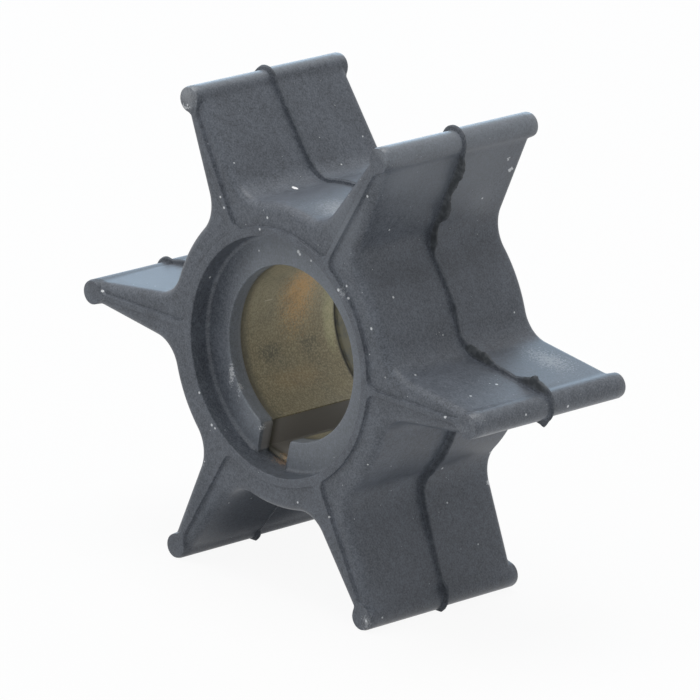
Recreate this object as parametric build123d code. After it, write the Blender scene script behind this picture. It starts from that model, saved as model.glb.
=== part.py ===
"""Six-bladed flexible impeller for an outboard water pump.

One rubber moulding, with a keyed brass insert bonded into its hub.
Sketches are drawn as the wheel is seen from its front face, and every solid is then turned so that
the shaft runs along Y, the front face looks along -Y and +Z is up. The origin is the centre of the
bore, half way between the two faces. All lengths are in millimetres, all angles in degrees.
"""

from build123d import *
import math
import os

# Wheel, over everything
outer_diameter = 57.0
face_width = 20.7
blade_count = 6

# Hub and blades, measured where their sides are straight
hub_diameter = 31.6
tip_bead_diameter = 2.7
blade_tip_thickness = 2.46
blade_root_thickness = 5.4
root_fillet_radius = 3.4
bead_neck_radius = 0.6

# Easing of the sides towards each face
shoulder_width = 0.75
shoulder_depth = 0.75

# Sealing rim that stands on each face: a ring round the recess, a thin rib along each blade, and
# the end of each tip bead
rim_height = 0.3
rim_ring_diameter = 26.4
rim_rib_thickness = 0.7
rim_corner_radius = 0.9

# Flash left at the parting line
flash_thickness = 0.3
flash_height = 0.22

# Recess in each face and the rubber lip over the end of the insert
recess_diameter = 24.5
recess_depth = 2.3
recess_corner_chamfer = 0.4
lip_bore_clearance = 0.12
lip_edge_chamfer = 0.3
key_gap_side_cover = 0.15
key_gap_corner_radius = 0.6

# Brass insert
insert_diameter = 25.2
insert_length = 13.2
bore_diameter = 18.0
bore_chamfer = 0.3
insert_edge_chamfer = 0.2
keyway_width = 4.5
wall_behind_keyway = 0.8
keyway_angle = 259.0

# Worked out from the sizes above
hub_radius = hub_diameter / 2
rim_ring_radius = rim_ring_diameter / 2
bead_radius = tip_bead_diameter / 2
tip_radius = outer_diameter / 2 - bead_radius
blade_length = tip_radius - hub_radius
half_width = face_width / 2
half_body = half_width - rim_height
bore_radius = bore_diameter / 2
insert_radius = insert_diameter / 2
recess_radius = recess_diameter / 2
half_insert = insert_length / 2
keyway_floor = insert_radius - wall_behind_keyway
lip_thickness = half_width - recess_depth - half_insert
lip_radius = bore_radius + lip_bore_clearance
key_gap_width = keyway_width - 2 * key_gap_side_cover
blade_pitch = 360.0 / blade_count
lowest_tip = min(math.sin(math.radians(i * blade_pitch)) for i in range(blade_count)) * tip_radius
standing_height = bead_radius - lowest_tip

# Torn flash: how far it stands out from the blade's straight side, at places along the blade that
# are given as a share of its length from the hub (0) to the middle of the tip bead (1)
tear_on_upper_blade = [
    (0.06, 1.0), (0.15, 0.7), (0.23, 0.9), (0.35, 1.5), (0.43, 1.05), (0.59, 0.9),
    (0.70, 0.7), (0.81, 1.1), (0.91, 0.7), (1.02, 0.4),
]
tear_on_side_blade = [
    (0.04, 0.9), (0.09, 0.6), (0.19, 0.9), (0.32, 0.6), (0.44, 0.35), (0.59, 0.35),
    (0.73, 0.5), (0.83, 1.3), (0.88, 1.5), (0.95, 0.7), (1.04, 0.4),
]


def web_half_thickness(share):
    """Half the blade's thickness, at a share of its length from the hub."""
    root = blade_root_thickness / 2
    tip = blade_tip_thickness / 2
    return root + (tip - root) * share


def corners(shape, distance):
    """The sketch's corners that lie at about a given distance from the shaft."""
    return [v for v in shape.vertices() if abs(v.center().length - distance) < bead_radius / 2]


def star(rise=0.0):
    """Outline of the hub disc and the tapering webs, with filleted roots. The rise is how far it
    stands outside their stated sizes."""
    core = hub_radius + rise
    inner_share = -0.5
    inner = hub_radius + inner_share * blade_length
    thick = web_half_thickness(inner_share) + rise
    thin = web_half_thickness(1) + rise
    web = Polygon((inner, -thick), (tip_radius, -thin), (tip_radius, thin), (inner, thick), align=None)
    shape = Circle(core)
    for i in range(blade_count):
        shape = shape + Rot(0, 0, i * blade_pitch) * web
    return fillet(corners(shape, core), root_fillet_radius - rise)


def tip_beads(radius):
    """Outline of the round beads at the blades' tips."""
    bead = Pos(tip_radius, 0) * Circle(radius)
    return Sketch() + [Rot(0, 0, i * blade_pitch) * bead for i in range(blade_count)]


def moulded_star():
    """Hub and blades as they leave the mould: sides eased at both faces, beads straight through."""
    flank = half_body - shoulder_depth
    middle = extrude(star(), flank, both=True)
    easing = loft([Pos(0, 0, flank) * star(), Pos(0, 0, half_body) * star(-shoulder_width)], ruled=True)
    beads = extrude(tip_beads(bead_radius), half_width, both=True)
    return middle + easing + mirror(easing, Plane.XY) + beads


def sealing_rim():
    """The raised rim on one face: ring, thin ribs along the blades and the ends of the beads."""
    rib = Pos(tip_radius / 2, 0) * Rectangle(tip_radius, rim_rib_thickness)
    arm = rib + Pos(tip_radius, 0) * Circle(bead_radius)
    shape = Circle(rim_ring_radius)
    for i in range(blade_count):
        shape = shape + Rot(0, 0, i * blade_pitch) * arm
    shape = fillet(corners(shape, rim_ring_radius), rim_corner_radius)
    neck = tip_radius - math.sqrt(bead_radius ** 2 - (rim_rib_thickness / 2) ** 2)
    shape = fillet(corners(shape, neck), bead_neck_radius)
    return Pos(0, 0, half_body) * extrude(shape, rim_height)


def fin(blade, side, stations):
    """Flash that stands out from one side of a blade; side is +1 or -1 across the blade."""
    outer = [(hub_radius + s * blade_length, side * (web_half_thickness(s) + h)) for s, h in stations]
    first = stations[0][0]
    last = stations[-1][0]
    inner = [(hub_radius + last * blade_length, 0), (hub_radius + first * blade_length, 0)]
    plate = extrude(Polygon(*outer, *inner, align=None), flash_thickness / 2, both=True)
    return Rot(0, 0, blade * blade_pitch) * plate


def flash():
    """Thin web at the parting line, with fins on two blades, worn flat where the wheel stands."""
    outline = star(flash_height) + tip_beads(bead_radius + flash_height)
    web = extrude(outline, flash_thickness / 2, both=True)
    web = web + fin(1, -1, tear_on_upper_blade)
    web = web + fin(0, 1, tear_on_side_blade)
    above_ground = Box(2 * outer_diameter, 2 * outer_diameter, face_width)
    return web & Pos(0, outer_diameter - standing_height) * above_ground


def recess():
    """Space cut into one face: a shallow round recess with an eased corner at its floor."""
    cutter = Cylinder(recess_radius, recess_depth, align=(Align.CENTER, Align.CENTER, Align.MIN))
    floor_edge = cutter.edges().sort_by(Axis.Z)[0]
    return Pos(0, 0, half_width - recess_depth) * chamfer(floor_edge, recess_corner_chamfer)


def lip_opening():
    """Space cut through the rubber lip over the insert's end: a hole a little wider than the bore,
    eased at its outer edge, with a gap out to the recess wall that leaves the keyway open."""
    key_bar = Rot(0, 0, keyway_angle) * Pos(recess_radius / 2, 0) * Rectangle(recess_radius, key_gap_width)
    outline = Circle(lip_radius) + (key_bar & Circle(recess_radius))
    rounded = fillet(corners(outline, lip_radius), key_gap_corner_radius)
    opening = extrude(rounded, lip_thickness)
    flare = Cone(lip_radius, lip_radius + lip_edge_chamfer, lip_edge_chamfer)
    return Pos(0, 0, half_insert) * (opening + Pos(0, 0, lip_thickness - lip_edge_chamfer / 2) * flare)


def rubber_body():
    """The whole moulding, hollowed for the insert and recessed at both faces."""
    face_cut = recess() + lip_opening()
    rim = sealing_rim()
    solid = moulded_star() + rim + mirror(rim, Plane.XY) + flash()
    solid = solid - Cylinder(insert_radius, insert_length)
    return solid - face_cut - mirror(face_cut, Plane.XY)


def brass_insert():
    """Turned sleeve with one keyway broached through its bore."""
    sleeve = Cylinder(insert_radius, insert_length)
    sleeve = chamfer(sleeve.edges().filter_by(GeomType.CIRCLE), insert_edge_chamfer)
    sleeve = sleeve - Cylinder(bore_radius, insert_length)
    round_edges = sleeve.edges().filter_by(GeomType.CIRCLE)
    mouths = [e for e in round_edges if abs(e.radius - bore_radius) < bore_chamfer]
    sleeve = chamfer(mouths, bore_chamfer)
    slot = Pos(keyway_floor / 2, 0) * Box(keyway_floor, keyway_width, insert_length)
    return sleeve - Rot(0, 0, keyway_angle) * slot


def set_on_shaft(shape):
    """Turn a solid drawn face-on so that its axis runs along Y and its front looks along -Y."""
    return Rot(90, 0, 0) * shape


os.makedirs("parts", exist_ok=True)
export_step(set_on_shaft(rubber_body()), "parts/rubber_body.step")
export_step(set_on_shaft(brass_insert()), "parts/brass_insert.step")
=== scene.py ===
"""Looks of a rubber pump impeller: the moulded rubber wheel, the flash at its parting line, the
stained brass sleeve in its hub, and a plain stage with the camera.

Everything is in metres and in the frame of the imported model. The shaft runs along Y, the front face
looks along -Y and +Z is up. The wheel stands on two of its blade tips.
"""

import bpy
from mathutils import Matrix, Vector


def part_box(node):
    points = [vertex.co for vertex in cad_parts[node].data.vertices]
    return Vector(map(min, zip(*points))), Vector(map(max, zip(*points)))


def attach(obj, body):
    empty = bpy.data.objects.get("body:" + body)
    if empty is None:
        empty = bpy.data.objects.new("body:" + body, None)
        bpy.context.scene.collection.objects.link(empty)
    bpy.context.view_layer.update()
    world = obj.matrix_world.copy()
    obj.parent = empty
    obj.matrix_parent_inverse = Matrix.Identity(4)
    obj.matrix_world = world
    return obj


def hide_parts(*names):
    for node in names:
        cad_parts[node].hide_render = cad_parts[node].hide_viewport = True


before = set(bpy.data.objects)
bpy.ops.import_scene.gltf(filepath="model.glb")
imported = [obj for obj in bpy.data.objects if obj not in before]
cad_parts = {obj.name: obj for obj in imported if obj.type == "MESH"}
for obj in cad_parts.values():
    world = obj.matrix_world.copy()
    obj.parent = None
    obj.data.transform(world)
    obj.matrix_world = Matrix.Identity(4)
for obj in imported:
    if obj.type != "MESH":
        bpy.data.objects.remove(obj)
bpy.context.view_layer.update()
BODY_LOW, BODY_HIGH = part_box("rubber_body")
SLEEVE_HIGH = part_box("brass_insert")[1]

import math
from types import SimpleNamespace

import bmesh
import bpy
import numpy as np
from bpy.props import FloatProperty, FloatVectorProperty, PointerProperty
from mathutils import Matrix, Vector

bl_info = {
    "name": "Pump impeller",
    "version": (1, 0, 0),
    "blender": (4, 5, 0),
    "location": "View3D > Sidebar > Impeller",
    "description": "Builds a moulded rubber impeller with its flash, its brass sleeve and a stage",
    "category": "Add Mesh",
}

BLADES = 6
PITCH = 2 * math.pi / BLADES
MM = 0.001
MERGE_DISTANCE = 1e-6
TINY = 1e-9  # keeps a division away from nought
SMALLEST_SINE = 1e-4

# Points on the bead's arc, the neck fillet, the straight side, the root fillet and the hub's arc
BODY_COUNTS = (10, 8, 16, 16, 26)
FLASH_COUNTS = (22, 8, 80, 44, 34)

# The first and the last of those five pieces
ON_BEAD = 0
ON_HUB = 4

# Height of the flash along the sides of the blades, as (distance from the shaft, height) in
# millimetres. A key is a blade, counted from +X towards +Z, and its side. Where a side has no list
# of its own, the flash is a thin even line.
PLAIN_FLASH = [(13, 0.55), (15, 0.6), (18, 0.6), (21, 0.6), (25, 0.6), (26.5, 0.5), (28.5, 0.33)]
FLASH = {
    (1, -1): [
        (13, 0.5), (15.2, 0.5), (15.9, 0.9), (16.3, 1.2), (17, 1.1), (17.6, 1.05), (18.2, 0.95),
        (18.7, 0.8), (19.2, 1.05), (19.6, 1.4), (20, 1.5), (20.7, 1.4), (21.5, 1.1), (22, 1.0),
        (23, 1.0), (24, 1.1), (24.7, 1.4), (25.3, 1.35), (26, 1.1), (26.5, 0.8), (27, 0.5),
        (27.4, 0.35), (28, 0.28), (28.4, 0.3),
    ],
    (0, 1): [
        (13, 0.5), (14.2, 0.7), (14.6, 0.5), (15.2, 0.5), (16, 0.65), (16.5, 0.95), (17.2, 1.0),
        (18.2, 1.08), (19.1, 1.03), (19.6, 0.8), (20.2, 0.65), (21, 0.5), (21.8, 0.5),
        (23.2, 0.42), (24, 0.65), (24.7, 0.9), (25.2, 1.2), (25.8, 1.6), (26.2, 1.6), (26.6, 1.2),
        (27.2, 0.85), (27.9, 0.5), (28.4, 0.33),
    ],
    (0, -1): [
        (13, 1.0), (14.5, 0.95), (15, 0.9), (17, 0.7), (20, 0.5), (25, 0.5), (26.5, 0.6),
        (27.0, 0.55), (27.35, 0.75), (27.9, 0.3),
    ],
    (5, 1): [
        (13, 1.05), (14.5, 1.0), (15, 0.95), (16, 0.9), (18, 0.85), (20, 0.8), (22, 0.65),
        (23, 0.6), (25, 0.5), (26, 0.6), (27, 0.85), (28, 0.5), (28.5, 0.35),
    ],
    (4, 1): [(13, 0.2), (26, 0.15), (26.6, 0.3), (27.2, 0.48), (28.0, 0.42), (28.5, 0.3)],
    (2, -1): [
        (13, 0.45), (15, 0.48), (15.6, 0.6), (16.2, 0.66), (17, 0.7), (18, 0.66), (19, 0.6),
        (24, 0.58), (26, 0.6), (27, 0.5), (28.5, 0.38),
    ],
}

# Section through the flash: place along the shaft and height over the side, in millimetres, and
# the share of the flash's own height that is added there
FLASH_SECTION = [
    (-0.26, -0.12, 0), (-0.17, 0.02, 0.03), (-0.13, 0, 0.3), (-0.115, 0, 0.7), (-0.09, 0, 0.93),
    (0.0, 0, 1.0), (0.09, 0, 0.93), (0.115, 0, 0.7), (0.13, 0, 0.3), (0.17, 0.02, 0.03),
    (0.26, -0.12, 0), (0.0, -0.2, 0), (-0.26, -0.12, 0),
]

# Marks: centre and half sizes in millimetres, how broken up it is, how soft its edge is, how strong
# it is, and its colour in the finish settings
# Painted shade on the lower left blade's inner side: a darker, rougher patch
DULL_SHADED_HOLLOW = ((-9.0, 0.0, -19.0), (6.0, 14.0, 8.5), 0.1, 0.6)
RUBBER_MARKS = [
    # Paler patches on the upper right blade
    ((13.5, 1.0, 20.5), (7, 14, 8), 0.1, 0.9, 0.45, "worn"),
    ((11.8, 6.0, 16.5), (2.2, 3.0, 2.6), 0.5, 0.9, 0.45, "worn"),
    ((13.2, 7.7, 20.5), (0.5, 0.3, 0.3), 0.6, 0.5, 0.9, "dust"),
    ((12.8, 8.7, 19.1), (0.6, 0.4, 0.3), 0.6, 0.4, 1.0, "dust"),
    ((-2.0, -6.8, -11.9), (1.4, 1.0, 1.2), 0.9, 0.8, 0.22, "rust"),
    # Painted sheen on the hub between the two upper blades, in the dust colour
    ((4.5, -5.5, 16.2), (4.0, 4.0, 1.8), 0.2, 0.9, 0.5, "dust"),
    # Paler patches on the upper right blade and on the front face at its root
    ((14.0, -7.0, 21.5), (4.0, 4.2, 3.6), 0.2, 0.9, 0.5, "worn"),
    ((9.0, -10.3, 16.5), (4.5, 0.7, 7.0), 0.2, 0.9, 0.5, "worn"),
    ((-13.7, -10.4, 23.7), (1.8, 0.7, 1.8), 0.4, 0.9, 0.25, "dust"),
    ((14.3, -10.2, -23.6), (0.6, 0.6, 0.9), 0.9, 0.9, 0.3, "dust"),
    ((9.2, -10.3, 9.1), (0.5, 0.4, 0.5), 1.2, 0.8, 0.25, "dust"),
    ((21.5, 6.5, 2.0), (3.0, 1.8, 1.2), 1.1, 0.8, 0.3, "dust"),
    ((27.5, -9.6, 0.9), (1.4, 1.3, 0.8), 0.5, 0.9, 0.12, "dust"),
    ((26.5, -10.1, -0.4), (1.4, 0.4, 0.8), 0.5, 0.9, 0.15, "dust"),
    ((6.0, -10.0, 21.5), (3.0, 0.6, 3.0), 0.5, 0.9, 0.2, "dust"),
    ((-4.5, -4.0, 15.3), (0.46, 0.28, 0.4), 0.1, 0.3, 1.0, "crumb"),
    ((-14.0, -10.4, 22.6), (0.5, 0.4, 0.2), 1.3, 0.6, 0.6, "dust"),
    ((-7.2, -8.0, -5.4), (0.3, 0.3, 1.4), 1.1, 0.7, 0.4, "dust"),
    ((-8.4, -8.2, -4.2), (0.4, 0.3, 1.2), 1.0, 0.7, 0.6, "dust"),
    ((-3.8, -8.0, -8.8), (0.3, 0.4, 0.3), 1.1, 0.5, 0.7, "dust"),
    ((11.1, 9.6, -14.2), (0.5, 0.5, 0.4), 0.6, 0.5, 0.9, "dust"),
    # Painted shade on the lower left blade's inner side
    (*DULL_SHADED_HOLLOW, 0.25, "rubber"),
]
BRASS_MARKS = [
    ((-8.4, 1.0, 2.8), (4.0, 3.4, 5.8), 0.4, 1.0, 0.85, "rust"),
    ((-6.0, 3.2, 6.0), (3.0, 1.6, 2.6), 0.3, 0.9, 0.8, "rust"),
    ((-8.6, 5.6, 0.0), (4.0, 1.3, 6.5), 0.2, 0.8, 0.8, "rubbed"),
    ((-8.5, -2.8, -3.0), (3.0, 2.0, 1.3), 0.35, 0.8, 0.7, "tarnish"),
    ((-8.4, 2.6, -3.3), (3.0, 1.6, 1.4), 0.35, 0.8, 0.5, "tarnish"),
    ((-7.0, -0.5, -5.8), (3.0, 5.0, 1.4), 0.3, 0.9, 0.15, "rust"),
    ((-8.7, -3.2, 2.45), (1.0, 0.9, 0.07), 0.3, 0.6, 0.8, "scratch"),
]
KEYWAY_MARKS = [((-1.4, -5.8, -11.7), (1.4, 2.2, 0.6), 0.9, 0.8, 0.25, "rust")]

# Single white specks on the rubber: centre and radius in millimetres
LONE_SPECKS = [
    (-13.68, -10.35, 22.86, 0.14), (-1.99, -10.05, 13.95, 0.16), (-2.71, -10.35, 12.64, 0.16),
    (-5.06, -8.11, 9.44, 0.12), (-11.01, -9.08, 5.38, 0.15), (0.56, -8.11, 10.71, 0.22),
    (0.80, -8.11, 10.50, 0.18), (2.42, -8.12, 10.24, 0.14), (8.7, -10.35, 9.21, 0.20),
    (9.95, -10.16, 8.64, 0.16), (13.19, -10.05, 6.33, 0.18), (11.35, -6.29, 15.24, 0.12),
    (12.93, -6.95, 8.88, 0.15), (-10.7, -10.35, -6.41, 0.16), (-8.74, -10.35, -9.3, 0.18),
    (-8.24, -10.35, -9.52, 0.14), (17.6, -8.15, 2.35, 0.14), (23.18, -2.49, 1.72, 0.18),
    (24.09, -10.35, 0.21, 0.20), (28.39, -3.58, 0.2, 0.14), (28.38, 2.24, -0.13, 0.18),
    (23.87, -6.72, 1.56, 0.15), (14.91, 8.01, 4.96, 0.12), (11.15, 9.31, -10.93, 0.18),
    (11.12, 2.63, -11.24, 0.15), (-7.94, -10.35, 13.6, 0.16), (-8.51, -10.35, 14.57, 0.15),
    (11.95, -10.05, 19.48, 0.16), (14.86, -8.66, -23.42, 0.12), (14.31, -10.35, -23.55, 0.18),
    (8.55, -10.3, -14.3, 0.14), (-25.69, -10.16, 0.48, 0.20), (11.76, 6.01, 16.34, 0.14),
]


def length(name, description, default):
    """A length setting in metres."""
    return FloatProperty(
        name=name, description=description, default=default, precision=5, unit="LENGTH",
        subtype="DISTANCE",
    )


def angle_setting(name, description, degrees):
    """An angle setting, with its default in degrees."""
    return FloatProperty(
        name=name, description=description, default=math.radians(degrees), subtype="ANGLE",
        unit="ROTATION",
    )


def number(name, description, default, low=0.0):
    """A plain number setting."""
    return FloatProperty(name=name, description=description, default=default, min=low)


def colour(name, description, default):
    """A colour setting."""
    return FloatVectorProperty(
        name=name, description=description, default=default, size=3, min=0, max=1, subtype="COLOR"
    )


class WheelSizes(bpy.types.PropertyGroup):
    """Sizes of the rubber wheel and its sleeve."""

    tip_circle: length("Tip circle", "Radius on which the middles of the tip beads lie", 0.02709)
    bead: length("Tip bead", "Radius of the round bead along each blade tip", 0.00132)
    hub: length("Hub", "Radius of the hub below its rounded edge", 0.01565)
    web_root: length("Blade at hub", "Half the blade's thickness where it meets the hub", 0.00258)
    web_tip: length("Blade at tip", "Half the blade's thickness at the tip bead's middle", 0.0011)
    root_fillet: length("Root fillet", "Radius between blade and hub", 0.00355)
    neck_fillet: length("Neck fillet", "Radius between blade and tip bead", 0.0025)
    half_width: length("Half width", "From the parting line to the raised rim's top", BODY_HIGH.y)
    edge: length("Rounded edge", "Radius of the edge between the sides and the end faces", 0.0009)
    draft: length("Draft", "How far the sides swell at the parting line", 0.00015)
    rim: length("Rim height", "How far the raised rim stands above the end face", 0.0003)
    rim_ring: length("Rim ring", "Outer radius of the ring round the recess", 0.0132)
    rim_rib: length("Rim rib", "Half the width of the rib along each blade", 0.00033)
    rim_corner: length("Rim corner", "Radius between ring and rib", 0.0009)
    rim_neck: length("Rim neck", "Radius between rib and bead end", 0.0006)
    rim_wall: length("Rim wall", "Width over which the rim rises", 0.0001)
    mismatch: length("Mould mismatch", "How far the rear half sits above the front half", 0.00013)
    recess: length("Recess", "Radius of the recess in each face", 0.01225)
    recess_edge: length("Recess edge", "Rounding of the recess's outer edge", 0.00012)
    recess_depth: length("Recess depth", "Depth of the recess below the rim", 0.0023)
    lip: length("Lip", "Inner radius of the rubber lip over the sleeve's end", 0.00895)
    key_gap: length("Lip gap", "Half the width of the gap in the lip at the keyway", 0.0021)
    sleeve: length("Sleeve", "Outer radius of the brass sleeve", SLEEVE_HIGH.x)
    sleeve_half: length("Sleeve half length", "Half the length of the brass sleeve", SLEEVE_HIGH.y)
    bore: length("Bore", "Radius of the bore in the sleeve", 0.009)
    keyway: length("Keyway", "Half the width of the keyway", 0.00225)
    keyway_floor: length("Keyway floor", "From the bore's middle to the keyway's floor", 0.0118)
    key_angle: angle_setting("Keyway angle", "Direction of the keyway, from +X towards +Z", 259.0)


class Finish(bpy.types.PropertyGroup):
    """Colours of the rubber, the dust on it and the brass."""

    rubber: colour("Rubber", "Bare moulded rubber", (0.052, 0.060, 0.073))
    bloom: colour("Bloom", "Pale bloom on the rubber's skin", (0.132, 0.148, 0.175))
    fresh: colour("Fresh rubber", "Rubber where the flash was torn", (0.058, 0.064, 0.070))
    # Pale rubber, also used as painted light on the recess floors and as a painted highlight on the
    # tip beads
    worn: colour("Recess floor", "Paler rubber on the recess's floor", (0.185, 0.205, 0.232))
    # Dust and scuffs, and also a painted sheen on the hub between the two upper blades
    dust: colour("Dust", "Specks of dust and scuffs", (0.62, 0.64, 0.66))
    oil: colour("Oily rubber", "Olive stain on the far lip", (0.250, 0.240, 0.170))
    grime: colour("Grime", "Grime in the keyway and on the notch in the lip", (0.33, 0.315, 0.295))
    brass: colour("Brass", "Dull brass", (0.275, 0.240, 0.153))
    bright: colour("Bright brass", "Paler brass", (0.50, 0.455, 0.32))
    verdigris: colour("Green stain", "Greenish stain on the brass", (0.20, 0.20, 0.15))
    rust: colour("Orange stain", "Orange stain on the brass", (0.80, 0.47, 0.18))
    # Tarnish, and also painted shade at both ends of the bore and in the keyway's mouth
    tarnish: colour("Tarnish", "Dark tarnish on the brass", (0.10, 0.095, 0.075))
    rubbed: colour("Rubbed brass", "Cleaner brass near the rear end", (0.58, 0.56, 0.34))
    scratch: colour("Scratch", "Short bright scratch in the bore", (0.8, 0.75, 0.6))
    crumb: colour("Crumb", "White crumb between two blades", (1.0, 1.0, 1.0))


class Stage(bpy.types.PropertyGroup):
    """Camera and lamps."""

    azimuth: angle_setting("Azimuth", "Camera's turn round the wheel, 0 looks along +Y", 45.638)
    elevation: angle_setting("Elevation", "Height of the camera over the horizon", 17.685)
    roll: angle_setting("Roll", "Turn of the camera about its line of sight", 2.1204)
    distance: length("Distance", "From the middle of the wheel to the camera", 0.7138)
    lens: number("Lens", "Focal length in millimetres", 367.8, 1.0)
    shift: number("Shift", "Upward shift of the view", -0.0164, -1.0)
    key_light: number("Key lamp", "Power of the lamp in front, at the left", 1.0)
    top_light: number("Top lamp", "Power of the lamp overhead", 3.7)
    sky_light: number("Sky lamp", "Power of the bluish lamp behind, at the left", 1.4)
    ambient: number("Ambient", "Strength of the light from all sides", 0.42)


def smooth(value):
    """Smooth step from 0 to 1: three times the square less twice the cube."""
    t = np.clip(value, 0.0, 1.0)
    return t * t * (3 - 2 * t)


def wobble(seed, places, spacing):
    """Random curve between -1 and 1: random values at even places, joined by smooth steps."""
    values = np.random.default_rng(seed).uniform(-1, 1, 4096)
    steps = places / spacing
    low = np.floor(steps).astype(int)
    share = smooth(steps - low)
    return values[low % len(values)] * (1 - share) + values[(low + 1) % len(values)] * share


def ragged(path, *layers):
    """Sum of random curves along a path. A layer is a seed, and a spacing and height in
    millimetres."""
    return sum(wobble(seed, path, spacing * MM) * height * MM for seed, spacing, height in layers)


def turn_from(angle, start):
    """Angle from a direction, between minus and plus half a turn."""
    return (angle - start + math.pi) % (2 * math.pi) - math.pi


def bearing(vector):
    """Direction of a flat vector, as an angle from its first axis."""
    return math.atan2(vector[1], vector[0])


def arc(centre, radius, start, stop, count, last=False):
    """Arc of a circle, its centre plus radius times (cosine, sine), and the unit vectors along its
    radii. The last point may be left to the next piece of the outline."""
    angle = np.linspace(start, stop, count, endpoint=last)
    ray = np.stack([np.cos(angle), np.sin(angle)], 1)
    return np.asarray(centre) + radius * ray, ray


def meet_circle(start, along, radius, sign):
    """Where a line crosses a circle about the origin: the way along it is a quadratic's root."""
    b = start @ along
    return start + along * (-b + sign * math.sqrt(b * b - start @ start + radius * radius))


def quarter_round(count):
    """A quarter circle in even turns, as two columns: one less the sine, one less the cosine."""
    turn = np.linspace(0, math.pi / 2, count)[:, None]
    return 1 - np.sin(turn), 1 - np.cos(turn)


def half_blade(sizes, counts):
    """Half of one blade and half of the hub arc beside it, in the blade's own axes (u along it, w
    across it), from the end of the tip bead round to the middle of the hub arc.

    Five pieces touch each other: bead arc, neck fillet, straight side, root fillet, hub arc. Each
    fillet's centre lies on the line parallel to the side at the fillet's radius, at the fillet's
    radius from the bead or hub circle, which is the root of a quadratic. Returns points, outward
    normals, bead share and the piece number of each point."""
    tip = np.array([sizes.tip_circle, 0.0])
    corner = np.array([sizes.hub, sizes.web_root])
    run = np.array([sizes.tip_circle - sizes.hub, sizes.web_tip - sizes.web_root])
    along = run / np.linalg.norm(run)
    normal = np.array([-along[1], along[0]])

    start = corner + sizes.neck_fillet * normal - tip
    neck_centre = tip + meet_circle(start, along, sizes.bead + sizes.neck_fillet, -1)
    start = corner + sizes.root_fillet * normal
    root_centre = meet_circle(start, along, sizes.hub + sizes.root_fillet, 1)
    outer = neck_centre - sizes.neck_fillet * normal
    inner = root_centre - sizes.root_fillet * normal
    to_bead, to_side, to_hub = bearing(tip - neck_centre), bearing(-normal), bearing(-root_centre)

    bead_count, neck_count, web_count, root_count, hub_count = counts
    bead = arc(tip, sizes.bead, 0.0, bearing(neck_centre - tip), bead_count)
    neck = arc(neck_centre, sizes.neck_fillet, to_bead, to_side, neck_count)
    web = outer + (inner - outer) * np.linspace(0, 1, web_count, endpoint=False)[:, None]
    root = arc(root_centre, sizes.root_fillet, to_side, to_hub, root_count)
    hub = arc((0, 0), sizes.hub, bearing(root_centre), PITCH / 2, hub_count + 1, last=True)
    points = np.concatenate([bead[0], neck[0], web, root[0], hub[0]])
    flat = np.repeat(normal[None, :], web_count, 0)
    normals = np.concatenate([bead[1], -neck[1], flat, -root[1], hub[1]])

    index = np.arange(len(points))
    bead_share = 1 - smooth((index - bead_count) / neck_count)
    kind = np.searchsorted(np.cumsum(counts[:ON_HUB]), index, side="right")
    return points, normals, bead_share, kind


def turned(local, blade):
    """Points (u, w) in the axes of their blades, turned to the wheel's x and z."""
    angle = (blade * PITCH).reshape((-1,) + (1,) * (local.ndim - 2))
    u, w = local[..., 0], local[..., 1]
    cos, sin = np.cos(angle), np.sin(angle)
    return np.stack([u * cos - w * sin, u * sin + w * cos], -1)


def wheel_outline(sizes, counts):
    """The closed outline of the whole wheel below its rounded edges, counter-clockwise as seen
    from the front. Each blade is its half outline mirrored and run backwards, then its half
    outline, turned to its place. Returns a set of arrays with one value for each point: its place
    and normal in its blade's axes and in the wheel's, its share of bead, its piece and number in
    the half outline, its side and blade, and its way along the outline."""
    points, normals, bead, kind = half_blade(sizes, counts)
    flip = np.array([1.0, -1.0])
    place = np.arange(len(points))
    lower, upper = place[:0:-1], place[:-1]
    local = np.concatenate([points[lower] * flip, points[upper]])
    local_normal = np.concatenate([normals[lower] * flip, normals[upper]])
    order = np.concatenate([lower, upper])
    side = np.repeat([-1.0, 1.0], [len(lower), len(upper)])
    outline = SimpleNamespace(
        local=np.tile(local, (BLADES, 1)), local_normal=np.tile(local_normal, (BLADES, 1)),
        bead=np.tile(bead[order], BLADES), kind=np.tile(kind[order], BLADES),
        order=np.tile(order, BLADES), side=np.tile(side, BLADES),
        blade=np.repeat(np.arange(BLADES), len(order)),
    )
    outline.point = turned(outline.local, outline.blade)
    outline.normal = turned(outline.local_normal, outline.blade)
    steps = np.roll(outline.point, -1, 0) - outline.point
    outline.path = np.concatenate([[0], np.cumsum(np.linalg.norm(steps, axis=1))[:-1]])
    return outline


def swell(sizes, outline):
    """How far the sides stand out at the parting line: nothing on the beads."""
    return sizes.draft * (1 - outline.bead)


def smooth_min(first, second, width):
    """The smaller of two distances, rounded where they come within a width of each other: a quarter
    of the width is taken off, times the square of how close they are."""
    near = np.clip(1 - np.abs(first - second) / width, 0, None)
    return np.minimum(first, second) - near ** 2 * width / 4


def rim_distance(sizes, local):
    """Distance outside the raised rim, negative on it: the smallest of the distances to the ring,
    to the blade's rib and to the bead. A factor fits the smooth minimum to a corner's radius."""
    match = 1.17
    u, w = local[..., 0], np.abs(local[..., 1])
    ring = np.hypot(u, w) - sizes.rim_ring
    rib = np.maximum(w - sizes.rim_rib, u - sizes.tip_circle)
    bead = np.hypot(u - sizes.tip_circle, w) - sizes.bead
    joined = smooth_min(ring, rib, match * sizes.rim_corner)
    return smooth_min(joined, bead, match * sizes.rim_neck)


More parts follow.
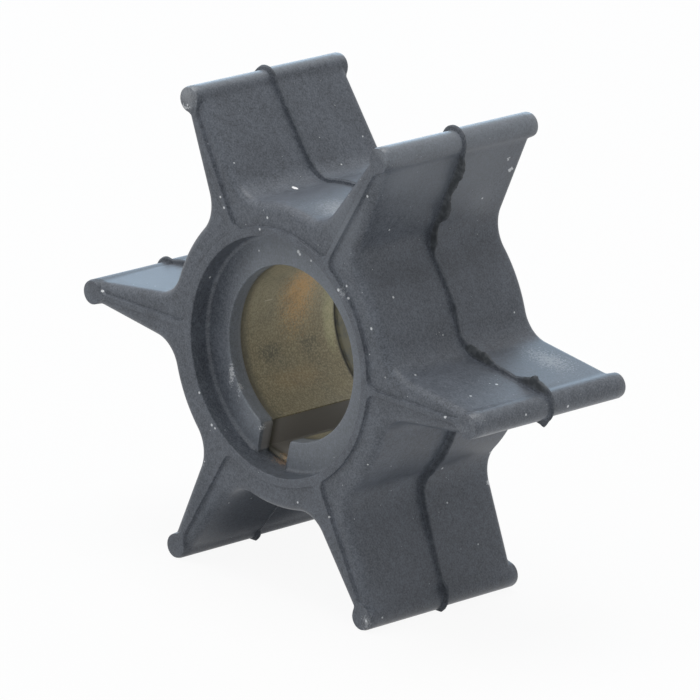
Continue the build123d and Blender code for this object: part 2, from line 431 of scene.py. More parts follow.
def ring_angle(sizes, blade, side, share):
    """Angle on the recess at a share of half a pitch from a blade. The angles lie closer together
    where the lip's gap has its corners: a running sum of the density reaches the share there."""
    corner, extra, width = 0.195, 5.0, 0.07  # angle from the keyway, added density and its spread
    fine = blade * PITCH + side * np.linspace(0, PITCH / 2, 600)
    density = np.ones_like(fine)
    for place in (sizes.key_angle - corner, sizes.key_angle + corner):
        density += extra * np.exp(-((turn_from(fine, place) / width) ** 2))
    total = np.concatenate([[0], np.cumsum((density[1:] + density[:-1]) / 2)])
    return np.interp(share * total[-1], total, fine)


def inner_ends(sizes, outline):
    """Where the line that runs inwards from each outline point ends, in its blade's axes: at the
    blade's centre line or at the recess's edge, whichever comes first. Returns the ends and the
    angle of those on the recess, which is not a number for the others."""
    reach = sizes.recess + sizes.recess_edge
    point, normal = outline.local, outline.local_normal
    across = np.where(np.abs(normal[:, 1]) < TINY, 1.0, normal[:, 1])
    middle = point[:, 0] - normal[:, 0] / across * point[:, 1]
    middle = np.where(outline.kind == ON_BEAD, sizes.tip_circle, middle)
    onto = np.sum(point * normal, 1)
    run = onto - np.sqrt(np.maximum(onto ** 2 - np.sum(point ** 2, 1) + reach ** 2, 0))
    ring = point - normal * run[:, None]
    on_ring = (middle < reach) | (outline.kind == ON_HUB)
    on_ring |= outline.order >= outline.order[on_ring].min() - 1
    own = np.abs(np.arctan2(ring[:, 1], ring[:, 0]))
    share = np.where(middle < reach, own / (PITCH / 2), 0)
    angle = np.full(len(point), np.nan)
    for blade in range(BLADES):
        for side in (-1, 1):
            here = on_ring & (outline.blade == blade) & (outline.side == side)
            angle[here] = ring_angle(sizes, blade, side, share[here])
    own = angle - outline.blade * PITCH
    ends = np.stack([middle, np.zeros_like(middle)], 1)
    ends[on_ring] = (reach * np.stack([np.cos(own), np.sin(own)], 1))[on_ring]
    return ends, angle


def face_rows(sizes, outline, ends):
    """Rows of one end face, from the side inwards, as local points and depths below the rim's foot.

    A line runs along the inward normal for the width of the rounded edge, then straight to its end.
    The edge is a quarter circle: the depth is its radius less the root of the squared radius less
    the squared rest of the way. The rim rises by a smooth step of the distance inside its outline,
    and the rows crowd together there."""
    sharp = 0.001 * MM
    edge = np.where(outline.kind == ON_BEAD, sharp, sizes.edge)[:, None]
    start, normal = outline.local, outline.local_normal
    turn = start - normal * edge
    rest = np.linalg.norm(ends - turn, axis=1)[:, None]
    whole = edge + rest
    waver = ragged(outline.path, (21, 1.7, 0.03), (22, 0.6, 0.015)) * (1 - outline.bead)

    def along(way):
        first = start[:, None, :] - normal[:, None, :] * np.minimum(way, edge)[:, :, None]
        share = np.clip((way - edge) / np.maximum(rest, TINY), 0, 1)
        place = first + (ends - turn)[:, None, :] * share[:, :, None]
        return place, rim_distance(sizes, place) + waver[:, None]

    search = np.linspace(0, 1, 400) * whole
    inside = along(search)[1] < TINY
    foot = np.take_along_axis(search, np.argmax(inside, 1)[:, None], 1)
    on_edge = np.minimum(foot, edge)
    curve = np.arccos(1 - on_edge / edge) * np.linspace(0, 1, 9)
    flat = on_edge + np.maximum(foot - edge, 0) * np.array([0.35, 0.7])
    wall_steps = np.array([-0.14, -0.06, -0.025, 0, 0.02, 0.04, 0.06, 0.08, 0.1, 0.13, 0.2])
    top = foot + (whole - foot) * np.array([0.5, 1.0])
    way = np.concatenate([edge * (1 - np.cos(curve)), flat, foot + wall_steps * MM, top], 1)
    way = np.minimum(np.maximum.accumulate(np.maximum(way, 0), 1), whole)
    way[:, -1:] = whole
    place, gap = along(way)
    left = np.clip(edge - way, 0, None)
    low = edge - np.sqrt(np.maximum(edge ** 2 - left ** 2, 0))
    risen = smooth(-gap / sizes.rim_wall)
    risen[:, -1] = 1
    return place, low * (1 - risen) - sizes.rim * risen


def shift_of_rear(sizes, y):
    """Height by which a point is lifted: the rear half of the mould sat a little high."""
    step = 0.06 * MM
    return sizes.mismatch * smooth(y / step + 0.5)


def sheet_faces(rows, columns, offset):
    """Quads of a grid whose points are numbered row by row, and whose columns run round."""
    row = np.arange(rows - 1)[:, None] * columns
    column = np.arange(columns)[None, :]
    after = (column + 1) % columns
    quads = [row + column, row + after, row + columns + after, row + columns + column]
    return np.stack(quads, 2).reshape(-1, 4) + offset


def make_piece(name, sheets, attributes=None):
    """One closed object from grids of points (rows, columns, xyz). Points that fall on each other
    are merged, faces without area go, and the faces are turned outwards."""
    points, faces, start = [], [], 0
    for sheet in sheets:
        rows, columns = sheet.shape[:2]
        points.append(sheet.reshape(-1, 3))
        faces.append(sheet_faces(rows, columns, start))
        start += rows * columns
    points, faces = np.concatenate(points), np.concatenate(faces)
    mesh = bpy.data.meshes.new(name)
    mesh.from_pydata(points.tolist(), [], faces.tolist())
    for key, values in (attributes or {}).items():
        layer = mesh.attributes.new(key, "FLOAT", "POINT")
        layer.data.foreach_set("value", values.ravel().astype(np.float32))
    work = bmesh.new()
    work.from_mesh(mesh)
    bmesh.ops.remove_doubles(work, verts=work.verts, dist=MERGE_DISTANCE)
    bmesh.ops.dissolve_degenerate(work, edges=work.edges, dist=MERGE_DISTANCE / 10)
    bmesh.ops.recalc_face_normals(work, faces=work.faces)
    open_edges = sum(not e.is_manifold for e in work.edges)
    work.to_mesh(mesh)
    work.free()
    mesh.polygons.foreach_set("use_smooth", np.ones(len(mesh.polygons), bool))
    mesh.update()
    print(name, "faces", len(mesh.polygons), "open edges", open_edges)
    piece = bpy.data.objects.new(name, mesh)
    bpy.context.scene.collection.objects.link(piece)
    return piece


def lip_reach(sizes, angle):
    """Inner radius of the lip. It is the lip's circle, or the side of the gap, which is half the
    gap over the sine of the angle from the keyway, whichever is larger, eased where they meet, and
    at most the recess radius."""
    away = turn_from(angle, sizes.key_angle)
    side = sizes.key_gap / np.maximum(np.abs(np.sin(away)), SMALLEST_SINE)
    gap = np.minimum(np.where(np.abs(away) < math.pi / 2, side, 0), 2 * sizes.recess)
    ease = 0.35 * MM
    reach = (sizes.lip + gap + np.sqrt((sizes.lip - gap) ** 2 + ease ** 2)) / 2
    return np.minimum(reach, sizes.recess)


def profile_rows(blocks, angle):
    """Two grids over all angles from blocks of (radius, depth), one under the other. Each is a
    number, a column, or a row over the angles."""
    grids = [np.broadcast_arrays(radius, depth, angle[None, :]) for radius, depth in blocks]
    return np.concatenate([grid[0] for grid in grids]), np.concatenate([grid[1] for grid in grids])


def hollow_profile(sizes, angle):
    """Profile of one face's hollow as (radius, depth) rows over all angles: rounded rim, wall,
    rounded corner, floor, rounded lip, lip wall, and the step out to the sleeve's seat."""
    reach = lip_reach(sizes, angle)
    room = np.clip((sizes.recess - reach) / (1.2 * MM), 0, 1)
    corner, ease, slope = 0.45 * MM * room, 0.2 * MM * room, 0.15 * MM * room
    edge, depth = sizes.recess_edge, sizes.recess_depth
    edge_out, edge_down = quarter_round(5)
    corner_up, corner_in = quarter_round(7)
    lip_out, lip_down = quarter_round(8)
    outer, inner = sizes.recess - corner, reach + ease
    share = np.array([[0.3], [0.6], [0.85]])
    seat = sizes.half_width - sizes.sleeve_half
    return profile_rows([
        (sizes.recess + edge * edge_out, edge * edge_down),
        (sizes.recess, depth * 0.45),
        (sizes.recess - corner * corner_in, depth - corner * corner_up),
        (outer + (inner - outer) * share, depth - slope * share),
        (reach + ease * lip_out, depth - slope + ease * lip_down),
        (reach, seat - 0.4 * MM),
        (reach, seat),
        (sizes.sleeve, seat),
    ], angle)


def side_levels(sizes):
    """Distances of the side's rows from the parting line, from the rounded edge inwards."""
    top = (sizes.half_width - sizes.rim - sizes.edge) / MM
    return np.concatenate([np.linspace(top, 0.5, 9), [0.2, 0.06, 0.02, 0.0]]) * MM


def join(x, y, z):
    """One array of xyz from three of the same shape."""
    return np.stack(np.broadcast_arrays(x, y, z), -1)


class IMPELLER_OT_rubber_body(bpy.types.Operator):
    """Build the moulded rubber wheel"""

    bl_idname = "impeller.rubber_body"
    bl_label = "Rubber body"

    def execute(self, context):
        sizes = context.scene.impeller_sizes
        outline = wheel_outline(sizes, BODY_COUNTS)
        level = side_levels(sizes)
        share = 1 - level / level[0]
        out = swell(sizes, outline)[:, None] * share[None, :]
        wall = outline.local[:, None] + outline.local_normal[:, None] * out[:, :, None]
        ends, angle = inner_ends(sizes, outline)
        face, low = face_rows(sizes, outline, ends)
        base = sizes.half_width - sizes.rim
        local = np.concatenate([face[:, ::-1], wall, wall[:, -2::-1], face], 1)
        height = np.broadcast_to(level, wall.shape[:2])
        y = np.concatenate([low[:, ::-1] - base, -height, height[:, -2::-1], base - low], 1)
        flat = turned(local, outline.blade)
        settle = 0.6 * MM
        from_recess = np.linalg.norm(local, axis=2) - sizes.recess - sizes.recess_edge
        lift = shift_of_rear(sizes, y) * smooth(from_recess / settle)
        skin = join(flat[:, :, 0], y, flat[:, :, 1] + lift).transpose(1, 0, 2)

        ring = np.unique(np.round(angle[~np.isnan(angle)] % (2 * math.pi), 9))
        radius, below = hollow_profile(sizes, ring)
        radius = np.concatenate([radius, radius[::-1]])
        y = np.concatenate([-sizes.half_width + below, sizes.half_width - below[::-1]])
        hollow = join(radius * np.cos(ring), y, radius * np.sin(ring))

        piece = make_piece("rubber_moulding", [skin, hollow])
        piece.data.materials.append(rubber_material(context.scene.impeller_finish, sizes))
        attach(piece, "root")
        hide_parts("rubber_body")
        return {"FINISHED"}


def flash_height(outline):
    """Height of the flash above the outline, and how far its walls are bare, as a share. A fine
    random curve tears the edge of the tall fins."""
    blade, side, path = outline.blade, outline.side, outline.path
    height = np.zeros(len(path))
    for which in range(BLADES):
        for hand in (-1, 1):
            here = (blade == which) & (side == hand)
            stations = np.array(FLASH.get((which, hand), PLAIN_FLASH)) * MM
            height[here] = np.interp(outline.local[here, 0], stations[:, 0], stations[:, 1])
    torn = ((blade == 1) & (side < 0)) | ((blade == 0) & (side > 0))
    tall = torn * smooth((height - 0.6 * MM) / (0.3 * MM))
    tear = ragged(path, (3, 0.16, 0.05), (4, 0.45, 0.07))
    uneven = ragged(path, (5, 1.3, 0.04))
    stained = np.where(blade == 4, 0.0, 0.3)
    return height + uneven + tear * tall, stained + (1 - stained) * tall


class IMPELLER_OT_mould_flash(bpy.types.Operator):
    """Build the thin flash that stands along the parting line"""

    bl_idname = "impeller.mould_flash"
    bl_label = "Mould flash"

    def execute(self, context):
        sizes = context.scene.impeller_sizes
        outline = wheel_outline(sizes, FLASH_COUNTS)
        base = swell(sizes, outline)
        height, tall = flash_height(outline)
        height = np.maximum(height, base + 0.1 * MM) - base
        section = np.array(FLASH_SECTION)[:, :, None]
        lean = ragged(outline.path, (9, 2.2, 0.12), (10, 0.5, 0.05)) / MM
        share = section[:, 2]
        y = section[:, 0] * MM + share ** 2 * lean * height
        out = base + section[:, 1] * MM + share * height
        x = outline.point[:, 0] + outline.normal[:, 0] * out
        z = outline.point[:, 1] + outline.normal[:, 1] * out
        z = np.maximum(z + shift_of_rear(sizes, y), BODY_LOW.z)
        dusty_foot = np.where(np.isin(outline.blade, (2, 3)), 0.32, 0.1) * MM
        dusty_foot = np.where(tall > 0.5, 0.05 * MM, dusty_foot)
        bare = smooth((share * height - dusty_foot) / (0.12 * MM)) * tall
        piece = make_piece("mould_flash", [join(x, y, z)], {"bare": bare})
        piece.data.materials.append(flash_material(context.scene.impeller_finish))
        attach(piece, "root")
        return {"FINISHED"}


def bore_reach(sizes, angle):
    """Inner radius of the sleeve: the bore's circle, or the keyway's side or floor where the keyway
    lies further out."""
    away = turn_from(angle, sizes.key_angle)
    side = sizes.keyway / np.maximum(np.abs(np.sin(away)), SMALLEST_SINE)
    floor = sizes.keyway_floor / np.maximum(np.cos(away), SMALLEST_SINE)
    slot = np.where(np.abs(away) < math.pi / 2, np.minimum(side, floor), 0)
    return np.maximum(sizes.bore, slot)


class IMPELLER_OT_brass_sleeve(bpy.types.Operator):
    """Build the turned brass sleeve with its keyway"""

    bl_idname = "impeller.brass_sleeve"
    bl_label = "Brass sleeve"

    def execute(self, context):
        sizes = context.scene.impeller_sizes
        closer = np.array([-0.012, -0.005, -0.0015, 0, 0.0015, 0.005, 0.012])
        angles = [np.linspace(0, 2 * math.pi, 540, endpoint=False)]
        floor_corner = math.atan(sizes.keyway / sizes.keyway_floor)
        for corner in (floor_corner, math.asin(sizes.keyway / sizes.bore)):
            angles += [sizes.key_angle - corner + closer, sizes.key_angle + corner + closer]
        angle = np.unique(np.round(np.concatenate(angles) % (2 * math.pi), 7))
        reach = bore_reach(sizes, angle)
        half, edge, clear = sizes.sleeve_half, 0.2 * MM, 0.6 * MM
        ease = 0.28 * MM * np.exp(-(reach - sizes.bore) / (0.05 * MM))
        edge_up, edge_in = quarter_round(4)
        mouth_out, mouth_up = quarter_round(5)
        radius, y = profile_rows([
            (sizes.sleeve - edge * edge_in, edge * edge_up - half),
            (reach + ease * mouth_out, ease * mouth_up - half),
        ], angle)
        levels = np.linspace(clear - half, half - clear, 18)[:, None]
        wall_radius, wall_y = profile_rows([(reach, levels)], angle)
        radius = np.concatenate([radius, wall_radius, radius[::-1], radius[:1]])
        y = np.concatenate([y, wall_y, -y[::-1], y[:1]])
        grid = join(radius * np.cos(angle), y, radius * np.sin(angle))
        piece = make_piece("brass_sleeve", [grid])
        piece.data.materials.append(brass_material(context.scene.impeller_finish, sizes))
        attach(piece, "root")
        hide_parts("brass_insert")
        return {"FINISHED"}


def new_group(name, inputs, output):
    """An empty shader node group with named inputs, which are floats or vectors as their defaults
    are, and one float output. Returns the group, its inputs and the output's socket."""
    group = bpy.data.node_groups.new(name, "ShaderNodeTree")
    for socket, default in inputs.items():
        kind = "NodeSocketVector" if isinstance(default, tuple) else "NodeSocketFloat"
        made = group.interface.new_socket(socket, in_out="INPUT", socket_type=kind)
        made.default_value = default
    group.interface.new_socket(output, in_out="OUTPUT", socket_type="NodeSocketFloat")
    given = group.nodes.new("NodeGroupInput").outputs
    return group, given, group.nodes.new("NodeGroupOutput").inputs[output]


def node(tree, kind, **settings):
    """A new node with its properties set."""
    made = tree.nodes.new(kind)
    for key, value in settings.items():
        setattr(made, key, value)
    return made


def wire(tree, source, target):
    """A link, or a plain value put on a socket."""
    if isinstance(source, (int, float, tuple)):
        target.default_value = source
    else:
        tree.links.new(source, target)


def maths(tree, operation, first, second=0.0, clamp=False):
    """One math node, and its output."""
    made = node(tree, "ShaderNodeMath", operation=operation, use_clamp=clamp)
    wire(tree, first, made.inputs[0])
    wire(tree, second, made.inputs[1])
    return made.outputs[0]


def times(tree, first, second):
    """Two values multiplied."""
    return maths(tree, "MULTIPLY", first, second)


def span(tree, value, low, high, start=0.0, stop=1.0):
    """A smooth step of a value between two limits."""
    made = node(tree, "ShaderNodeMapRange", interpolation_type="SMOOTHSTEP")
    for place, amount in enumerate((value, low, high, start, stop)):
        wire(tree, amount, made.inputs[place])
    return made.outputs[0]


def within(tree, value, low, high):
    """A smooth step down: 1 below the first limit, 0 above the second."""
    return span(tree, value, low, high, 1.0, 0.0)


def vectors(tree, operation, first, second):
    """One vector math node."""
    made = node(tree, "ShaderNodeVectorMath", operation=operation)
    wire(tree, first, made.inputs[0])
    wire(tree, second, made.inputs[1])
    return made


def paint_of(source):
    """A colour socket as it is, or a colour setting with full alpha."""
    return source if isinstance(source, bpy.types.NodeSocket) else (*source, 1.0)


def blend(tree, share, first, second):
    """One colour mixed into another. Sockets 6 and 7 and output 2 are the node's colour ones."""
    made = node(tree, "ShaderNodeMix", data_type="RGBA")
    wire(tree, share, made.inputs["Factor"])
    wire(tree, paint_of(first), made.inputs[6])
    wire(tree, paint_of(second), made.inputs[7])
    return made.outputs[2]


def noise(tree, place, scale, detail=3.0, rough=0.55, distortion=0.0):
    """Noise between about 0 and 1 at a place."""
    made = node(tree, "ShaderNodeTexNoise")
    wire(tree, place, made.inputs["Vector"])
    wire(tree, scale, made.inputs["Scale"])
    made.inputs["Detail"].default_value = detail
    made.inputs["Roughness"].default_value = rough
    made.inputs["Distortion"].default_value = distortion
    return made.outputs["Fac"]


def specks(name):
    """Sparse round specks: the distance to random points in space, cut off at a radius that differs
    from point to point."""
    group, given, mask = new_group(
        name, {"Place": (0, 0, 0), "Cells per metre": 600.0, "Radius": 0.08}, "Mask"
    )
    wiggle = noise(group, given["Place"], 9000.0, 1.0)
    cells = node(group, "ShaderNodeTexVoronoi", feature="F1")
    wire(group, given["Place"], cells.inputs["Vector"])
    wire(group, given["Cells per metre"], cells.inputs["Scale"])
    parts = node(group, "ShaderNodeSeparateColor")
    wire(group, cells.outputs["Color"], parts.inputs[0])
    few_large = 2.5
    pick = maths(group, "POWER", parts.outputs[0], few_large)
    reach = times(group, given["Radius"], pick)
    reach = times(group, reach, maths(group, "ADD", wiggle, 0.6))
    inner = times(group, reach, 0.55)
    wire(group, within(group, cells.outputs["Distance"], inner, reach), mask)
    return group


def skin_grain(name):
    """Fine grain of a moulded or drawn skin: two sizes of noise added together."""
    group, given, value = new_group(
        name,
        {"Place": (0, 0, 0), "Fine per metre": 9000.0, "Coarse per metre": 1500.0,
         "Coarse share": 0.5},
        "Value",
    )
    fine = noise(group, given["Place"], given["Fine per metre"], 2.0, 0.6)
    coarse = noise(group, given["Place"], given["Coarse per metre"])
    extra = times(group, maths(group, "SUBTRACT", coarse, fine), given["Coarse share"])
    wire(group, maths(group, "ADD", fine, extra), value)
    return group


def mark(name):
    """One mark: an oval about a point, with an edge of any softness, broken up by noise."""
    group, given, mask = new_group(
        name,
        {"Place": (0, 0, 0), "Centre": (0, 0, 0), "Half sizes": (1, 1, 1), "Break up": 0.5,
         "Softness": 0.3},
        "Mask",
    )
    away = vectors(group, "SUBTRACT", given["Place"], given["Centre"]).outputs["Vector"]
    share = vectors(group, "DIVIDE", away, given["Half sizes"]).outputs["Vector"]
    size = node(group, "ShaderNodeVectorMath", operation="LENGTH")
    wire(group, share, size.inputs[0])
    uneven = maths(group, "SUBTRACT", noise(group, given["Place"], 5000.0, 2.0), 0.5)
    rough = times(group, times(group, uneven, given["Break up"]), 4.0)
    total = maths(group, "ADD", size.outputs["Value"], rough)
    solid = maths(group, "SUBTRACT", 1.0, given["Softness"])
    wire(group, within(group, total, solid, 1.0), mask)
    return group


def dot(name):
    """One round speck: 1 within a radius of its centre, with a thin soft edge."""
    group, given, mask = new_group(
        name, {"Place": (0, 0, 0), "Centre": (0, 0, 0), "Radius": 0.0002}, "Mask"
    )
    away = vectors(group, "DISTANCE", given["Place"], given["Centre"]).outputs["Value"]
    share = maths(group, "DIVIDE", away, given["Radius"])
    wire(group, within(group, share, 0.6, 1.0), mask)
    return group


def use_group(tree, build, **inputs):
    """A node group placed in a material, with its own values. It is built at its first use and
    bears the name of the function that builds it."""
    group = bpy.data.node_groups.get(build.__name__) or build(build.__name__)
    made = node(tree, "ShaderNodeGroup", node_tree=group)
    for key, value in inputs.items():
        wire(tree, value, made.inputs[key.replace("_", " ").capitalize()])
    return made.outputs[0]


def in_metres(values):
    """Millimetres as a tuple of metres."""
    return tuple(value * MM for value in values)


def lone_specks(tree, place):
    """A mask of the single specks."""
    mask = 0.0
    for *centre, radius in LONE_SPECKS:
        one = use_group(tree, dot, place=place, centre=in_metres(centre), radius=radius * MM)
        mask = maths(tree, "MAXIMUM", mask, one)
    return mask


def mark_mask(tree, place, centre, half_sizes, break_up, softness):
    """The mask of one mark, from its row in the lists at the top."""
    return use_group(tree, mark, place=place, centre=in_metres(centre),
                     half_sizes=in_metres(half_sizes), break_up=break_up, softness=softness)


def marks(tree, place, surface, spots, finish):
    """A colour with marks laid over it one after another."""
    for *shape, strength, paint in spots:
        share = times(tree, mark_mask(tree, place, *shape), strength)
        surface = blend(tree, share, surface, getattr(finish, paint))
    return surface


def new_material(name, roughness, metallic=0.0, specular=0.5):
    """A material with one main shader, and its node tree, shader and Object coordinates."""
    material = bpy.data.materials.new(name)
    material.use_nodes = True
    tree = material.node_tree
    shader = tree.nodes["Principled BSDF"]
    shader.inputs["Roughness"].default_value = roughness
    shader.inputs["Metallic"].default_value = metallic
    shader.inputs["Specular IOR Level"].default_value = specular
    place = node(tree, "ShaderNodeTexCoord").outputs["Object"]
    return material, tree, shader, place


def bump(tree, shader, height, strength, distance):
    """A bump that feeds the shader's normal."""
    made = node(tree, "ShaderNodeBump")
    made.inputs["Strength"].default_value = strength
    made.inputs["Distance"].default_value = distance
    wire(tree, height, made.inputs["Height"])
    wire(tree, made.outputs["Normal"], shader.inputs["Normal"])


def skin_colour(tree, place, finish):
    """Colour of the moulded skin: bare rubber under a bloom that is mottled over millimetres and
    grainy over tenths of a millimetre. Returns the colour, the paleness and the grain."""
    contrast = 3.6
    mottle = span(tree, noise(tree, place, 260.0, 4.0, 0.6), 0.3, 0.7, 0.36, 0.64)
    grain = use_group(tree, skin_grain, place=place, fine_per_metre=5600.0,
                      coarse_per_metre=1700.0, coarse_share=0.3)
    grainy = times(tree, maths(tree, "SUBTRACT", grain, 0.5), contrast)
    pale = maths(tree, "ADD", mottle, grainy, clamp=True)
    return blend(tree, pale, finish.rubber, finish.bloom), pale, grain


def polar(tree, place):
    """Distance from the shaft's axis, and the x, y and z of a place."""
    axes = node(tree, "ShaderNodeSeparateXYZ")
    wire(tree, place, axes.inputs[0])
    x, y, z = axes.outputs
    radius = maths(tree, "SQRT", maths(tree, "ADD", times(tree, x, x), times(tree, z, z)))
    return radius, x, y, z


def rubber_material(finish, sizes):
    """Black rubber under a pale blue-grey bloom, with grain, specks, marks, a painted highlight on
    the tip beads, painted light that makes one side of each recess floor paler, and an oily far lip.
    Among the marks are painted shade on the lower left blade and a painted sheen on the hub."""
    material, tree, shader, place = new_material("moulded rubber", 0.45, specular=0.42)
    skin, pale, grain = skin_colour(tree, place, finish)
    # A pale rubber tone, mottled like the skin; below it paints light on one side of each recess
    # floor and a highlight on the tip beads
    worn = np.array(finish.worn)
    rubbed = blend(tree, pale, worn * 0.84, worn * 1.16)
    radius, x, y, z = polar(tree, place)
    depth = maths(tree, "ABSOLUTE", y)
    seat, lip, recess = sizes.sleeve_half, sizes.lip, sizes.recess
    inside = within(tree, radius, recess - 0.4 * MM, recess - 0.1 * MM)

    # Painted light on the floor of each recess: paler away from its left side, where the recess wall
    # casts its shadow
    floor = times(tree, inside, span(tree, depth, seat + 0.1 * MM, seat + 0.4 * MM))
    lit = times(tree, floor, span(tree, x, -10.5 * MM, -4 * MM))
    skin = blend(tree, times(tree, lit, 0.8), skin, rubbed)

    # The lips' inner walls, paler at the front and oily at the back
    wall = within(tree, radius, lip + 0.06 * MM, lip + 0.2 * MM)
    near_wall = times(tree, wall, within(tree, y, -6 * MM, -5.5 * MM))
    skin = blend(tree, times(tree, near_wall, 0.6), skin, rubbed)
    far_wall = times(tree, wall, span(tree, y, 5.5 * MM, 6 * MM))
    patchy = span(tree, noise(tree, place, 900.0, 4.0, 0.65), 0.3, 0.6, 0.35, 1.0)
    skin = blend(tree, times(tree, far_wall, patchy), skin, finish.oil)

    # The sides of the gap in each lip, below the recess's floor
    notch = times(tree, span(tree, radius, lip + 0.1 * MM, lip + 0.3 * MM), inside)
    notch = times(tree, notch, within(tree, depth, 7.6 * MM, 7.9 * MM))
    skin = blend(tree, times(tree, notch, 0.6), skin, finish.grime)

    # Painted highlight: the outsides of the tip beads are paler, more so on the upper blades, where
    # the light from above falls
    tips = span(tree, radius, 27.2 * MM, 28 * MM)
    lit_from_above = span(tree, z, 16 * MM, 24 * MM, 0.15, 0.75)
    skin = blend(tree, times(tree, tips, lit_from_above), skin, rubbed)
    skin = marks(tree, place, skin, RUBBER_MARKS, finish)

    coarse = use_group(tree, specks, place=place, cells_per_metre=520.0, radius=0.08)
    fine = use_group(tree, specks, place=place, cells_per_metre=1200.0, radius=0.09)
    dusty = maths(tree, "MAXIMUM", coarse, times(tree, fine, 0.6))
    dusty = maths(tree, "MAXIMUM", dusty, lone_specks(tree, place))
    wire(tree, blend(tree, dusty, skin, finish.dust), shader.inputs["Base Color"])

    dull = times(tree, mark_mask(tree, place, *DULL_SHADED_HOLLOW), 0.45)
    rough = maths(tree, "ADD", span(tree, pale, 0.1, 0.9, 0.40, 0.52), dull)
    rough = maths(tree, "SUBTRACT", rough, times(tree, tips, 0.12))
    wire(tree, rough, shader.inputs["Roughness"])
    height = maths(tree, "ADD", grain, times(tree, coarse, 1.2))
    bump(tree, shader, height, 0.3, 0.04 * MM)
    return material


def flash_material(finish):
    """The same skin at the foot of the flash, and bare black rubber on its torn walls."""
    material, tree, shader, place = new_material("torn rubber", 0.5, specular=0.3)
    skin, _, grain = skin_colour(tree, place, finish)
    bare = node(tree, "ShaderNodeAttribute", attribute_name="bare").outputs["Fac"]
    uneven = times(tree, maths(tree, "SUBTRACT", grain, 0.5), 0.5)
    torn = maths(tree, "ADD", bare, times(tree, uneven, bare), clamp=True)
    rough_tear = span(tree, noise(tree, place, 1700.0, 3.0, 0.6), 0.42, 0.66)
    paint = blend(tree, rough_tear, finish.fresh, np.array(finish.fresh) * 1.8)
    wire(tree, blend(tree, torn, skin, paint), shader.inputs["Base Color"])
    bump(tree, shader, grain, 0.5, 0.05 * MM)
    return material


def brass_material(finish, sizes):
    """Dull stained brass, paler above as painted light, with orange, green and dark patches, a grimy
    keyway, ends darkened as painted shade and a short scratch."""
    material, tree, shader, place = new_material("stained brass", 0.5, metallic=0.3, specular=0.4)
    radius, _, y, z = polar(tree, place)
    grain = use_group(tree, skin_grain, place=place, fine_per_metre=5200.0,
                      coarse_per_metre=1900.0, coarse_share=0.25)
    # Painted light: the brass is paler towards the top of the bore
    above = times(tree, span(tree, z, -3 * MM, 6 * MM), 0.75)
    metal = blend(tree, above, finish.brass, finish.bright)
    green = span(tree, noise(tree, place, 240.0, 3.0, 0.6, 0.2), 0.45, 0.75)
    metal = blend(tree, times(tree, green, 0.5), metal, finish.verdigris)
    metal = marks(tree, place, metal, BRASS_MARKS, finish)
    dark = span(tree, noise(tree, place, 300.0, 5.0, 0.65, 0.3), 0.5, 0.8)
    metal = blend(tree, times(tree, dark, 0.45), metal, finish.tarnish)
    metal = blend(tree, span(tree, grain, 0.4, 0.8, 0.0, 0.9), metal, finish.bright)
    metal = blend(tree, span(tree, grain, 0.2, 0.6, 0.6, 0.0), metal, finish.tarnish)

    # Grime in the keyway, and painted shade at both ends of the bore and in the keyway's mouth under
    # the front lip
    slot = span(tree, radius, sizes.bore + 0.1 * MM, sizes.bore + 0.2 * MM)
    metal = blend(tree, slot, metal, finish.grime)
    front = span(tree, y, -6.4 * MM, -5.2 * MM, 0.75, 0.0)
    ends = maths(tree, "MAXIMUM", front, span(tree, y, 6.1 * MM, 6.4 * MM))
    metal = blend(tree, ends, metal, finish.tarnish)
    shaded_slot_mouth = times(tree, slot, within(tree, y, -6.2 * MM, -6 * MM))
    metal = blend(tree, times(tree, shaded_slot_mouth, 0.6), metal, finish.tarnish)
    metal = marks(tree, place, metal, KEYWAY_MARKS, finish)
    wire(tree, metal, shader.inputs["Base Color"])
    wire(tree, span(tree, grain, 0.2, 0.8, 0.42, 0.62), shader.inputs["Roughness"])
    bump(tree, shader, grain, 0.3, 0.03 * MM)
    return material


def area_lamp(name, place, power, tint=(1, 1, 1)):
    """A soft square lamp, half a metre wide, that looks at the middle of the wheel."""
    data = bpy.data.lights.new(name, "AREA")
    data.shape = "SQUARE"
    data.size = 0.5
    data.energy = power
    data.color = tint
    lamp = bpy.data.objects.new(name, data)
    lamp.location = place
    lamp.rotation_euler = (-Vector(place)).to_track_quat("-Z", "Y").to_euler()
    bpy.context.scene.collection.objects.link(lamp)


def seen_ray(tree):
    """1 on camera, glossy and transmission rays."""
    path = node(tree, "ShaderNodeLightPath")
    seen = maths(tree, "MAXIMUM", path.outputs["Is Camera Ray"], path.outputs["Is Glossy Ray"])
    return maths(tree, "MAXIMUM", seen, path.outputs["Is Transmission Ray"])


def show_backdrop(tree, lit, shown, share, output):
    """What lights the scene, mixed with the plain white that those rays see."""
    mix = node(tree, "ShaderNodeMixShader")
    wire(tree, times(tree, seen_ray(tree), share), mix.inputs[0])
    wire(tree, lit.outputs[0], mix.inputs[1])
    wire(tree, shown.outputs[0], mix.inputs[2])
    wire(tree, mix.outputs[0], node(tree, output).inputs["Surface"])


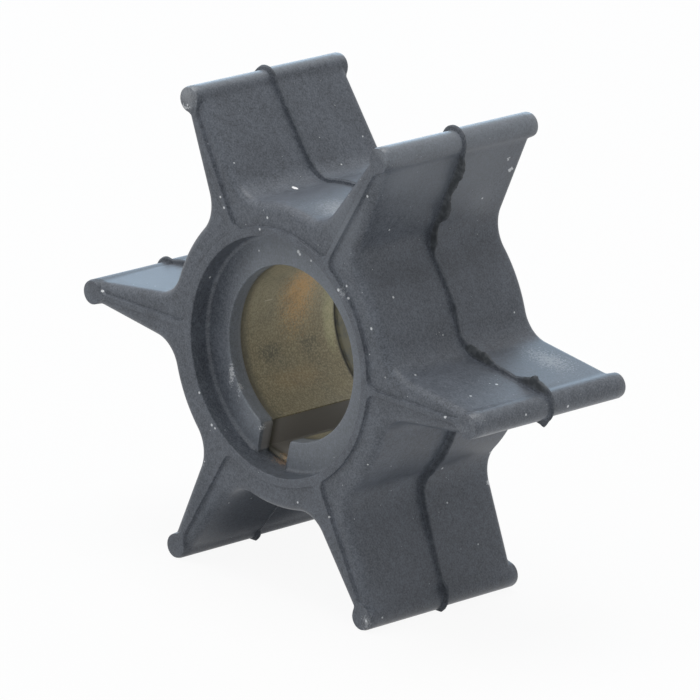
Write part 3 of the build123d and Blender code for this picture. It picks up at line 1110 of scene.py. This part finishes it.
class IMPELLER_OT_stage(bpy.types.Operator):
    """Set up the floor, the lamps, the world and the camera"""

    bl_idname = "impeller.stage"
    bl_label = "Stage"

    def execute(self, context):
        scene = context.scene
        stage = scene.impeller_stage
        scene.view_settings.view_transform = "Standard"

        mesh = bpy.data.meshes.new("floor")
        reach, level = 3.0, BODY_LOW.z
        corners = [(x * reach, y * reach, level) for x, y in ((-1, -1), (1, -1), (1, 1), (-1, 1))]
        mesh.from_pydata(corners, [], [(0, 1, 2, 3)])
        floor = bpy.data.objects.new("floor", mesh)
        scene.collection.objects.link(floor)
        material = bpy.data.materials.new("pale floor")
        material.use_nodes = True
        tree = material.node_tree
        tree.nodes.clear()
        paint = node(tree, "ShaderNodeBsdfDiffuse")
        paint.inputs["Color"].default_value = (0.8, 0.8, 0.8, 1)
        glow = node(tree, "ShaderNodeEmission")
        show_backdrop(tree, paint, glow, 0.93, "ShaderNodeOutputMaterial")
        mesh.materials.append(material)

        world = bpy.data.worlds.new("studio")
        scene.world = world
        world.use_nodes = True
        tree = world.node_tree
        tree.nodes.clear()
        light, shown = node(tree, "ShaderNodeBackground"), node(tree, "ShaderNodeBackground")
        for background, strength in ((light, stage.ambient), (shown, 1.0)):
            background.inputs["Color"].default_value = (1, 1, 1, 1)
            background.inputs["Strength"].default_value = strength
        show_backdrop(tree, light, shown, 1.0, "ShaderNodeOutputWorld")

        area_lamp("key lamp", (-0.40, -0.50, 0.48), stage.key_light)
        area_lamp("top lamp", (-0.08, 0.0, 0.8), stage.top_light)
        area_lamp("sky lamp", (-0.53, 0.54, 0.24), stage.sky_light, (0.40, 0.70, 1.0))

        a, e, r = stage.azimuth, stage.elevation, stage.roll
        back = Vector((math.sin(a) * math.cos(e), -math.cos(a) * math.cos(e), math.sin(e)))
        level_right = Vector((math.cos(a), math.sin(a), 0))
        level_up = back.cross(level_right)
        right = level_right * math.cos(r) + level_up * math.sin(r)
        up = level_up * math.cos(r) - level_right * math.sin(r)
        data = bpy.data.cameras.new("camera")
        data.lens = stage.lens
        data.sensor_width = 36
        data.shift_y = stage.shift
        data.clip_start = 0.01
        camera = bpy.data.objects.new("camera", data)
        turn = Matrix((right, up, back)).transposed()
        camera.matrix_world = Matrix.Translation(back * stage.distance) @ turn.to_4x4()
        scene.collection.objects.link(camera)
        scene.camera = camera
        return {"FINISHED"}


class IMPELLER_PT_parts(bpy.types.Panel):
    """Lists the pieces of the impeller"""

    bl_idname = "IMPELLER_PT_parts"
    bl_label = "Pump impeller"
    bl_space_type = "VIEW_3D"
    bl_region_type = "UI"
    bl_category = "Impeller"

    def draw(self, context):
        layout = self.layout
        for operator in OPERATORS:
            layout.operator(operator.bl_idname)
        scene = context.scene
        for group in (scene.impeller_sizes, scene.impeller_finish, scene.impeller_stage):
            box = layout.box()
            for key in group.__annotations__:
                box.prop(group, key)


OPERATORS = (
    IMPELLER_OT_rubber_body, IMPELLER_OT_mould_flash, IMPELLER_OT_brass_sleeve, IMPELLER_OT_stage,
)
CLASSES = (WheelSizes, Finish, Stage, *OPERATORS, IMPELLER_PT_parts)


def register():
    """Add the classes and the scene's settings."""
    for item in CLASSES:
        bpy.utils.register_class(item)
    bpy.types.Scene.impeller_sizes = PointerProperty(type=WheelSizes)
    bpy.types.Scene.impeller_finish = PointerProperty(type=Finish)
    bpy.types.Scene.impeller_stage = PointerProperty(type=Stage)


def unregister():
    """Take the settings and the classes away again."""
    del bpy.types.Scene.impeller_stage
    del bpy.types.Scene.impeller_finish
    del bpy.types.Scene.impeller_sizes
    for item in reversed(CLASSES):
        bpy.utils.unregister_class(item)


def main():
    """Build every piece."""
    register()
    bpy.ops.impeller.rubber_body()
    bpy.ops.impeller.mould_flash()
    bpy.ops.impeller.brass_sleeve()
    bpy.ops.impeller.stage()


if __name__ == "__main__":
    main()
